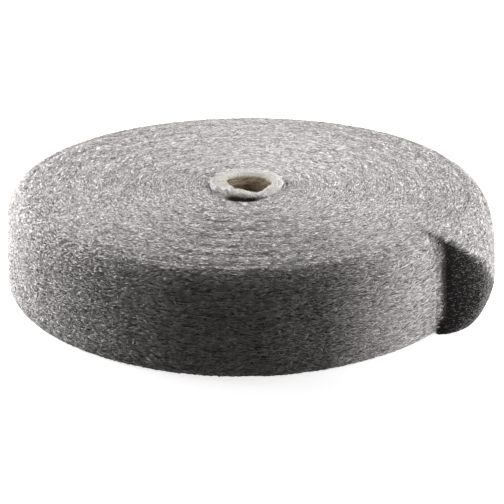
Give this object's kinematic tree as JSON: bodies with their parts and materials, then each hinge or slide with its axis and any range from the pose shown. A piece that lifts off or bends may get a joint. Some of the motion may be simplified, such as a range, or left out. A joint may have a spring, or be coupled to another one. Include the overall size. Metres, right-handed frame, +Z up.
{
  "type": "steel wool roll",
  "caption": "Large flat reel of steel wool: a wide strip wound in a spiral on an open paperboard core, lying on its end, with a puffed loose end at the front right.",
  "frame": {"origin": "middle of the footprint box, on the surface that the reel lies on", "axes": "+Z up along the core, +X to the right and -Y to the front, with the strip's loose end at the front right"},
  "size_m": [0.4822, 0.475, 0.103],
  "materials": {
    "steel_wool": "matted fine steel fibres, laid along the winding, with small bright glints",
    "core_paperboard": "uncoated grey-brown paperboard with a pale, furry cut rim"
  },
  "bodies": {
    "root": {"wool_roll": "steel_wool", "core_tube": "core_paperboard"}
  },
  "joints": []
}
